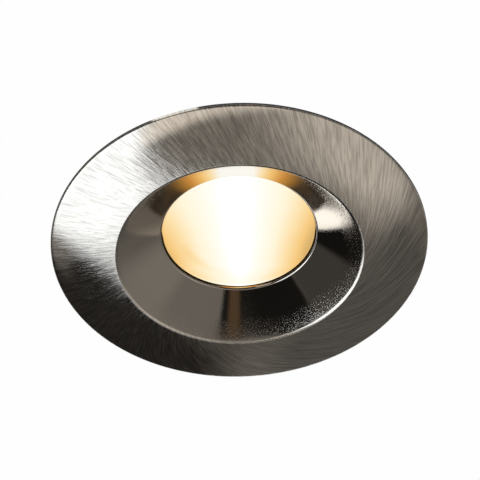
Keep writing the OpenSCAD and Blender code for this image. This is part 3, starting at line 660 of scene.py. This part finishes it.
def glowing_lens():
    """Frosted glass lit from behind. Its glow holds a painted reflection: a white core drawn out
    along Y, the light's streak in the reflector behind the glass, turning amber towards both
    sides. Glossy rays get a narrower, darker colour instead, a painted reflection of the lens in
    the metal beside it."""
    material, tree = new_material("glowing_lens")
    x, y, _ = tree.split(tree.place())
    across = x / LENS_FACE_R
    down = y / LENS_FACE_R
    out = (across * across + down * down) ** 0.5
    side = across.function("ABSOLUTE")

    # The painted white core is narrowest at the far side, and turns amber sooner on the right
    narrowing = down.between(-0.8, 0.5, 0.8, 1.32) + across.between(-0.1, 0.1, 0.0, 0.16)
    core = down.between(0.0, 0.8, 0.15, 0.06)
    off_core = (side * side + core * core) ** 0.5 - core

    # Two faint warm marks: one at the far edge and, on the far left, a crescent of painted shade
    # from the reflector's rim
    far_edge = down.between(0.62, 0.95) * (1 - out.between(0.93, 1.0))
    far_left = down.between(0.1, 0.4) * across.between(-0.35, 0.0, 1.0, 0.0)
    painted_crescent_shade = out.within(0.70, 0.80, 0.12) * far_left
    warmth = off_core * narrowing + painted_crescent_shade * 0.12 + far_edge * 0.22
    cloud = tree.noise(tree.place(), 5 * MM)
    # The glow's colours, from the painted white streak at the core to amber
    glow = [
        (0.0, (1.0, 1.0, 1.0)),
        (0.1, (0.9, 0.88, 0.82)),
        (0.2, (0.83, 0.81, 0.72)),
        (0.42, (0.83, 0.76, 0.58)),
        (0.65, (0.81, 0.62, 0.335)),
        (0.85, (0.76, 0.485, 0.17)),
        (1.0, (0.57, 0.36, 0.12)),
    ]
    painted_reflection_stops = [
        (0.2, (1.0, 1.0, 0.95)),
        (0.31, (1.0, 0.78, 0.42)),
        (0.41, (0.92, 0.56, 0.17)),
        (0.52, (0.66, 0.29, 0.05)),
        (0.6, (0.36, 0.17, 0.025)),
        (0.68, (0.05, 0.027, 0.008)),
        (0.76, (0.016, 0.010, 0.004)),
    ]
    level = warmth * 0.87 + (cloud - 0.5) * 0.06

    # Painted reflection: the metal shows a narrower core, which fades towards the far side
    aside = side + down.between(-0.1, 0.45, 0.0, 0.17) + down.between(0.45, 0.75, 0.0, 0.2)
    seen = tree.ramp(level, glow)
    painted_lens_reflection = tree.ramp(aside, painted_reflection_stops)

    grain = tree.noise(tree.place(), 0.2 * MM)
    tree.principled(
        {
            "Base Color": (0.05, 0.045, 0.04),
            "Roughness": grain.between(0.3, 0.7, 0.4, 0.55),
            # Glossy rays, and so the metal's reflections, see the painted reflection colour
            "Emission Color": tree.mix(tree.ray("Is Glossy Ray"), seen, painted_lens_reflection),
            "Emission Strength": 1.2,
            "Specular IOR Level": 0.01,
            "Normal": tree.bump(grain, 0.2, 0.01 * MM),
        }
    )
    return material


def cast_aluminium():
    """Die-cast skin: a fine grain, faint flow marks and duller patches."""
    material, tree = new_material("cast_aluminium")
    place = tree.place()
    skin = tree.noise(place, 0.25 * MM, 3.0, 0.6)
    drawn_out = tree.stretched(place, (6 * MM, 6 * MM, 18 * MM))
    flow = tree.noise(drawn_out, detail=3.0, roughness=0.55)
    patches = tree.noise(place, 9 * MM)
    tree.principled(
        {
            "Base Color": tree.mix(flow.between(0.3, 0.7), (0.50, 0.51, 0.52), (0.62, 0.63, 0.64)),
            "Metallic": 1.0,
            "Roughness": 0.38 + patches * 0.12 + skin * 0.08,
            "Normal": tree.bump(skin + flow * 0.5, 0.5, 0.04 * MM),
        }
    )
    return material


def zinc_plate():
    """Bright zinc plate with a fine crystal spangle and a trace of blue passivation."""
    material, tree = new_material("zinc_plate")
    place = tree.place()
    spangle = tree.cells(place, 0.9 * MM, "SMOOTH_F1")
    tint = tree.noise(place, 5 * MM).between(0.35, 0.65)
    rolled = tree.noise(tree.stretched(place, (0.12 * MM, 0.12 * MM, 3 * MM)))
    tree.principled(
        {
            "Base Color": tree.mix(tint, (0.62, 0.64, 0.68), (0.72, 0.71, 0.68)),
            "Metallic": 1.0,
            "Roughness": 0.24 + spangle * 0.12 + rolled * 0.06,
            "Normal": tree.bump(spangle + rolled * 0.6, 0.35, 0.02 * MM),
        }
    )
    return material


def polished_pin():
    """Ground and polished steel, with the last hair lines of the grinding round it."""
    material, tree = new_material("polished_pin")
    lines = tree.noise(tree.stretched(tree.place(), (0.06 * MM, 0.06 * MM, 2 * MM)))
    tree.principled(
        {
            "Base Color": tree.mix(lines, (0.72, 0.72, 0.73), (0.82, 0.82, 0.82)),
            "Metallic": 1.0,
            "Roughness": lines.between(0.2, 0.8, 0.10, 0.22),
            "Normal": tree.bump(lines, 0.2, 0.01 * MM),
        }
    )
    return material


def drawn_wire():
    """Spring wire, with draw lines that run along the wire round the coil's axis."""
    material, tree = new_material("drawn_wire")
    x, y, z = tree.split(tree.place())
    out_x = x.function("ABSOLUTE") - PIN_X
    out_z = z - PIN_Z
    reach = (out_x * out_x + out_z * out_z) ** 0.5
    line_w = 0.05 * MM
    lines = tree.noise(tree.join(reach / line_w, y / line_w, 0.0))
    oil = tree.noise(tree.place(), 2 * MM)
    tree.principled(
        {
            "Base Color": tree.mix(lines.between(0.3, 0.7), (0.42, 0.43, 0.45), (0.62, 0.63, 0.64)),
            "Metallic": 1.0,
            "Roughness": 0.22 + oil * 0.16,
            "Normal": tree.bump(lines, 0.4, 0.012 * MM),
        }
    )
    return material


def bright_reflector():
    """Bright anodised aluminium, spun, with very faint rings."""
    material, tree = new_material("bright_reflector")
    x, y, z = tree.split(tree.place())
    radius = (x * x + y * y) ** 0.5
    ring_w = 0.15 * MM
    rings = tree.noise(tree.join(radius / ring_w, z / ring_w, 0.0))
    tree.principled(
        {
            "Base Color": tree.mix(rings, (0.86, 0.86, 0.87), (0.94, 0.94, 0.95)),
            "Metallic": 1.0,
            "Roughness": rings.between(0.3, 0.7, 0.08, 0.16),
            "Normal": tree.bump(rings, 0.2, 0.01 * MM),
        }
    )
    return material


def turned_brass():
    """Turned brass, a little tarnished between the tool's rings."""
    material, tree = new_material("turned_brass")
    place = tree.place()
    tarnish = tree.noise(place, 1.5 * MM, 3.0).between(0.35, 0.75)
    rings = tree.noise(tree.stretched(place, (2 * MM, 2 * MM, 0.08 * MM)))
    tree.principled(
        {
            "Base Color": tree.mix(tarnish, (0.80, 0.61, 0.29), (0.52, 0.36, 0.15)),
            "Metallic": 1.0,
            "Roughness": 0.22 + rings * 0.18,
            "Normal": tree.bump(rings, 0.3, 0.015 * MM),
        }
    )
    return material


def moulded(name, dark, light, roughness, grain):
    """Moulded plastic with a spark-eroded texture and faint sink and handling marks."""
    material, tree = new_material(name)
    place = tree.place()
    texture = tree.noise(place, grain, 3.0, 0.7)
    handling = tree.noise(place, 7 * MM, 4.0, 0.6)
    drawn_out = tree.stretched(place, (0.4 * MM, 5 * MM, 1.2 * MM))
    scuffs = tree.noise(drawn_out, detail=3.0).between(0.62, 0.72)
    wear = handling.between(0.35, 0.7) * 0.8 + scuffs * 0.2
    tree.principled(
        {
            "Base Color": tree.mix(wear, dark, light),
            "Roughness": roughness + texture * 0.1 - scuffs * 0.08,
            "Normal": tree.bump(texture, 0.6, 0.03 * MM),
        }
    )
    return material


def black_rubber():
    """Matt rubber with a pale bloom and the odd speck of dust."""
    material, tree = new_material("black_rubber")
    place = tree.place()
    bloom = tree.noise(place, 4 * MM, 4.0, 0.65)
    specks = tree.noise(place, 0.4 * MM).between(0.70, 0.76)
    skin = tree.noise(place, 0.15 * MM)
    paleness = bloom.between(0.4, 0.8) * 0.7 + specks * 0.3
    tree.principled(
        {
            "Base Color": tree.mix(paleness, (0.022, 0.022, 0.024), (0.10, 0.10, 0.10)),
            "Roughness": 0.62 + bloom * 0.2,
            "Specular IOR Level": 0.35,
            "Normal": tree.bump(skin, 0.5, 0.03 * MM),
        }
    )
    return material


def pale_silicone():
    """Off-white silicone, slightly cloudy, with a satin skin."""
    material, tree = new_material("pale_silicone")
    place = tree.place()
    cloud = tree.noise(place, 3 * MM, 3.0)
    skin = tree.noise(place, 0.2 * MM)
    tree.principled(
        {
            "Base Color": tree.mix(cloud.between(0.3, 0.7), (0.74, 0.74, 0.71), (0.84, 0.84, 0.82)),
            "Roughness": 0.45 + cloud * 0.15,
            "Subsurface Weight": 0.15,
            "Subsurface Scale": 0.5 * MM,
            "Normal": tree.bump(skin, 0.3, 0.02 * MM),
        }
    )
    return material


def ceramic_board():
    """White alumina with fine speckle, as under a surface-mounted light source."""
    material, tree = new_material("ceramic_board")
    place = tree.place()
    speckle = tree.noise(place, 0.15 * MM)
    colour = tree.mix(speckle.between(0.35, 0.7), (0.90, 0.90, 0.88), (0.74, 0.74, 0.72))
    tree.principled(
        {
            "Base Color": colour,
            "Roughness": 0.5 + speckle * 0.2,
            "Normal": tree.bump(speckle, 0.3, 0.01 * MM),
        }
    )
    return material


# The chips stand in a chequer pattern that repeats after this length
CHIP_WAVE = 1.1 * MM


def phosphor_gel():
    """Yellow phosphor gel over the chips, whose rows show through it. It is lit."""
    material, tree = new_material("phosphor_gel")
    place = tree.place()
    x, y, _ = tree.split(place)
    wave = 2 * pi / CHIP_WAVE
    chips = (x * wave).function("SINE") * (y * wave).function("SINE")
    cloud = tree.noise(place, 1.2 * MM)
    paleness = chips.between(0.1, 0.7) * 0.6 + cloud * 0.3
    colour = tree.mix(paleness, (0.95, 0.74, 0.16), (1.0, 0.86, 0.42))
    tree.principled(
        {
            "Base Color": colour,
            "Roughness": 0.18 + cloud * 0.15,
            "Emission Color": colour,
            "Emission Strength": 1.0,
            "Normal": tree.bump(chips, 0.4, 0.03 * MM),
        }
    )
    return material


def lacquered_board():
    """Green lacquer over copper tracks, with tinned pads."""
    material, tree = new_material("lacquered_board")
    place = tree.place()
    tracks = tree.cells(place, 3 * MM, "DISTANCE_TO_EDGE", 0.6).between(0.06, 0.09)
    pads = tree.cells(place, 3 * MM, randomness=0.6).between(0.12, 0.16, 1.0, 0.0)
    green = tree.mix(tracks, (0.015, 0.12, 0.045), (0.03, 0.24, 0.09))
    grain = tree.noise(place, 0.3 * MM)
    tree.principled(
        {
            "Base Color": tree.mix(pads, green, (0.70, 0.70, 0.68)),
            "Metallic": pads,
            "Roughness": 0.22 + grain * 0.12,
            "Normal": tree.bump(tracks + pads, 0.5, 0.035 * MM),
        }
    )
    return material


# Laps of tape over the transformer's height
TAPE_LAPS = 9


def taped_winding():
    """Ferrite core with a winding under yellow tape, whose laps show as fine lines."""
    material, tree = new_material("taped_winding")
    place = tree.place()
    _, _, z = tree.split(place)
    low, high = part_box("transformer")
    height = (z - low.z) / (high.z - low.z)
    tape = height.within(0.2, 0.8, 0.04)
    laps = (height * (2 * pi * TAPE_LAPS)).function("SINE").between(0.7, 1.0)
    grain = tree.noise(place, 0.2 * MM)
    yellow = tree.mix(laps, (0.80, 0.58, 0.12), (0.60, 0.40, 0.06))
    tree.principled(
        {
            "Base Color": tree.mix(tape, (0.05, 0.048, 0.05), yellow),
            "Roughness": 0.55 - tape * 0.28 + grain * 0.1,
            "Normal": tree.bump(grain * 0.4 - laps * 0.5 * tape, 0.4, 0.04 * MM),
        }
    )
    return material


def shrink_sleeve():
    """Dark shrink sleeve with one pale polarity stripe, and a bare aluminium end."""
    material, tree = new_material("shrink_sleeve")
    place = tree.place()
    _, y, z = tree.split(place)
    low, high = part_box("capacitors")
    end = z.between(high.z - 0.15 * MM, high.z - 0.05 * MM)
    stripe = (y / (3.2 * MM)).function("SINE").between(0.93, 0.96) * (1 - end)
    wrinkle = tree.noise(tree.stretched(place, (0.5 * MM, 0.5 * MM, 3 * MM)))
    sleeve = tree.mix(stripe, (0.02, 0.03, 0.10), (0.62, 0.64, 0.68))
    tree.principled(
        {
            "Base Color": tree.mix(end, sleeve, (0.66, 0.66, 0.67)),
            "Metallic": end,
            "Roughness": 0.22 + wrinkle * 0.16,
            "Normal": tree.bump(wrinkle, 0.3, 0.03 * MM),
        }
    )
    return material


def wire_insulation():
    """Glossy wire insulation, red for one wire and black for the other."""
    material, tree = new_material("wire_insulation")
    place = tree.place()
    x, _, _ = tree.split(place)
    low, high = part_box("led_wires")
    middle = (low.x + high.x) / 2
    second_wire = x.between(middle - 0.05 * MM, middle + 0.05 * MM)
    grain = tree.noise(place, 0.5 * MM)
    red = tree.mix(grain, (0.50, 0.025, 0.02), (0.62, 0.05, 0.04))
    black = tree.mix(grain, (0.02, 0.02, 0.022), (0.05, 0.05, 0.055))
    tree.principled(
        {
            "Base Color": tree.mix(second_wire, red, black),
            "Roughness": 0.3 + grain * 0.12,
            "Normal": tree.bump(grain, 0.2, 0.02 * MM),
        }
    )
    return material


# ---- stage ---------------------------------------------------------------------------------

# The ceiling's rings, from the cut-out in the board outwards
CEILING_RINGS = (BEZEL_R - 1 * MM, 60 * MM, 0.3, 3.0)

# The rim shades the ceiling up to the second radius, fading from the first, but for one sector
SHADE = (BEZEL_R + 1 * MM, BEZEL_R + 12 * MM)
OPEN_SECTOR = (-115, -101)

# The lamp over the ceiling: its angles off +Y and above the ceiling, metres and watts
LAMP_AZIMUTH = -125
LAMP_ELEVATION = 52
LAMP_DISTANCE = 0.7
LAMP_SIZE = 0.45
LAMP_POWER = 3.0

# The even light above the ceiling, and the tints of the studio's cards below it
ABOVE_CEILING = (0.58, 0.58, 0.58)
WHITE = (1, 1, 1)
WARM = (1.0, 0.91, 0.81)
CREAM = (1.0, 0.945, 0.87)
AMBER = (1.0, 0.62, 0.34)
COOL = (1.0, 1.04, 1.09)


def ceiling_white():
    """White to the camera. In metal and glass it is darker where the rim shades it. From above
    it is clear."""
    material, tree = new_material("ceiling_white")
    seen = tree.ray("Is Camera Ray")
    mirrored = tree.ray("Is Glossy Ray")
    refracted = tree.ray("Is Transmission Ray")
    x, y, _ = tree.split(tree.place())
    radius = (x * x + y * y) ** 0.5
    open_sector = y.function("ARCTAN2", x).in_degrees().within(*OPEN_SECTOR, 2)
    shade = (1 - radius.between(*SHADE)) * (1 - open_sector)
    in_metal_or_glass = mirrored.function("MAXIMUM", refracted) * (1 - shade * 0.96)
    # The camera sees a little of the plain board too, so that the part keeps its shadow
    white_share = seen * 0.985 + in_metal_or_glass
    board_colour = tree.mix(shade * 0.9 * mirrored, (0.8, 0.8, 0.8), (0.03, 0.03, 0.03))
    board = tree.node("ShaderNodeBsdfDiffuse", values={"Color": board_colour})
    white = tree.node("ShaderNodeEmission", values={"Color": WHITE, "Strength": 1.0})
    clear = tree.node("ShaderNodeBsdfTransparent")
    facing_away = tree.node("ShaderNodeNewGeometry", output="Backfacing")
    tree.output(tree.mix_shaders(facing_away, tree.mix_shaders(white_share, board, white), clear))
    return material


def make_ceiling():
    """The soffit board's lower face, with the cut-out that the can stands in. It looks down,
    and from above it isn't there, so that the can, the clips and the driver show."""
    ceiling = turned("ceiling_face", [(radius, 0) for radius in CEILING_RINGS], ends="open")
    if ceiling.data.polygons[0].normal.z > 0:
        ceiling.data.flip_normals()
    ceiling.data.materials.append(ceiling_white())


def shine(level, tint=WARM):
    """The colour of a card that shines at a level."""
    return tuple(level * share for share in tint)


def studio_light(tree):
    """The light from each direction: a large soft box low on the left, pale and dark cards and
    grey walls below the ceiling, and an even grey above it."""
    x, y, z = tree.split(tree.node("ShaderNodeTexCoord", output="Generated"))
    azimuth = x.function("ARCTAN2", y).in_degrees()
    elevation = z.function("ARCSINE").in_degrees()

    # Where the direction meets a floor one unit below
    drop = (z * -1.0).function("MAXIMUM", 0.02)
    floor_x = x / drop
    floor_y = y / drop

    def patch(azimuths, elevations, soft):
        """An upright card, from its sides' angles off +Y and its ends' angles off level."""
        return azimuth.within(*azimuths, soft) * elevation.within(*elevations, soft)

    def card(widths, lengths, soft):
        """A card that lies flat on that floor."""
        return floor_x.within(*widths, soft) * floor_y.within(*lengths, soft)

    # The soft box's near left corner is cut off, and its right side leans, the more the farther
    lean = floor_y * 0.3 + (floor_y - 0.42).function("MAXIMUM", 0.0) * 0.18
    right_side = (floor_x - lean).between(-0.43, -0.35, 1.0, 0.0)
    cut_corner = (floor_y + floor_x * 1.3).between(-1.25, -0.95)
    soft_box = floor_x.between(-1.02, -0.90) * floor_y.within(-0.15, 1.0, 0.16)
    soft_box = soft_box * cut_corner * right_side

    # A pale strip, narrow on the right and reaching farther back on the left
    bend = (floor_x + 0.07).function("MINIMUM", 0.0) * 0.7
    far_side = (floor_y + floor_x * 0.2 + bend).between(0.0, 0.14, 1.0, 0.0)
    strip = card((-0.6, 0.2), (-0.03, 0.5), 0.04) * far_side

    # A wide pale card with very soft sides
    wide_card = floor_x.between(-0.02, 0.34) * floor_x.between(0.60, 0.86, 1.0, 0.0)
    wide_card = wide_card * floor_y.within(-0.1, 0.80, 0.4)

    # Each card hides what stands before it in the list
    cards = [
        # The right wall, with a darker far corner and a paler middle
        (patch((20, 151), (-70, 2), 8), shine(0.185)),
        (patch((20, 46), (-50, 4), 10), shine(0.14)),
        (patch((54, 92), (-50, 4), 16), shine(0.24)),
        # The near wall and the near left corner, almost black, with one amber strip
        (patch((151, 220), (-64, 2), 5), shine(0.012)),
        (patch((-220, -100), (-62, 2), 4), shine(0.010)),
        (patch((161, 177), (-64, 2), 6), shine(0.095, AMBER)),
        # The left wall
        (patch((-100, -54), (-56, 2), 4), shine(0.058)),
        # The far wall, dark on the left and with a cream screen on the right
        (patch((-56, -28), (-30, 2), 5), shine(0.009)),
        (patch((-32, -1), (-46, 2), 9), shine(0.022)),
        (patch((2, 34), (-47, 2), 7), shine(0.10, CREAM)),
        # A dark band high on the right wall, and a strip light at the near left
        (patch((74, 150), (-18, 2), 6), shine(0.03)),
        (patch((-160, -140), (-42, 4), 6), shine(0.8)),
        # What lies flat below the light
        (card((-0.6, 0.45), (0.0, 0.90), 0.1), shine(0.20)),
        (strip, shine(0.82)),
        (wide_card, shine(0.58)),
        # The soft box and its bright middle
        (soft_box, shine(1.5, COOL)),
        (card((-0.97, -0.68), (0.1, 0.62), 0.12), shine(2.3, WHITE)),
    ]
    light = tree.mix(elevation.between(-3, 3), shine(0.20), ABOVE_CEILING)
    for mask, colour in cards:
        light = tree.mix(mask, light, colour)
    return light


def make_world():
    """The studio, which lights the part and shows in the metal. The camera sees plain white."""
    world = bpy.data.worlds.new("studio")
    bpy.context.scene.world = world
    world.use_nodes = True
    tree = Tree(world.node_tree)
    light = studio_light(tree)
    studio = tree.node("ShaderNodeBackground", values={"Color": light, "Strength": 1.0})
    white = tree.node("ShaderNodeBackground", values={"Color": WHITE, "Strength": 1.0})
    shader = tree.mix_shaders(tree.ray("Is Camera Ray"), studio, white)
    tree.output(shader, "ShaderNodeOutputWorld")


def make_lamp():
    """A soft lamp over the ceiling, which gives the can and the driver a lit and a shaded side."""
    side, up = radians(LAMP_AZIMUTH), radians(LAMP_ELEVATION)
    place = Vector((sin(side) * cos(up), cos(side) * cos(up), sin(up))) * LAMP_DISTANCE
    facing = place.to_track_quat("Z", "Y").to_euler()
    bpy.ops.object.light_add(type="AREA", location=place, rotation=facing)
    lamp = bpy.context.object
    lamp.name = "soft_lamp"
    lamp.data.size = LAMP_SIZE
    lamp.data.energy = LAMP_POWER


# ---- the object ----------------------------------------------------------------------------


def dress(piece, material):
    """The piece has one material, on all its faces."""
    piece.data.materials.clear()
    piece.data.materials.append(material)


bpy.context.scene.view_settings.view_transform = "Standard"

# Each plastic's darkest and lightest colour
BLACK = (0.028, 0.028, 0.031), (0.045, 0.045, 0.048)
IVORY = (0.80, 0.80, 0.76), (0.86, 0.86, 0.83)

# The finish of each material slot
finishes = {
    "nickel": brushed_nickel(),
    "cast_aluminium": cast_aluminium(),
    "zinc_steel": zinc_plate(),
    "bright_steel": polished_pin(),
    "spring_steel": drawn_wire(),
    "reflector_metal": bright_reflector(),
    "brass": turned_brass(),
    "copper_winding": taped_winding(),
    "frosted_lens": glowing_lens(),
    "board_ceramic": ceramic_board(),
    "phosphor": phosphor_gel(),
    "pale_silicone": pale_silicone(),
    "black_rubber": black_rubber(),
    "black_plastic": moulded("black_plastic", *BLACK, roughness=0.42, grain=0.3 * MM),
    "white_plastic": moulded("white_plastic", *IVORY, roughness=0.36, grain=0.4 * MM),
    "green_board": lacquered_board(),
    "capacitor_sleeve": shrink_sleeve(),
    "red_wire": wire_insulation(),
}

for part in frame["record"]["subparts"]:
    dress(frame["nodes"][part["node"]], finishes[part["material_slot"]])


def stand_for(piece, slot, body, *nodes):
    """The piece is finished as its slot says, moves with its body and takes the nodes' place."""
    dress(piece, finishes[slot])
    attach(piece, body)
    if nodes:
        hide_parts(*nodes)


stand_for(make_bezel_shell(), "nickel", "bezel", "bezel")
stand_for(make_bezel_sleeve(), "nickel", "bezel")
stand_for(make_lens(), "frosted_lens", "can", "lens")

for side, turn in (("right", 0), ("left", 180)):
    spring = make_clip_spring(side, turn)
    dress(spring, finishes["spring_steel"])
    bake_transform(spring)
    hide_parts("clip_spring_" + side)

make_ceiling()
make_world()
make_lamp()
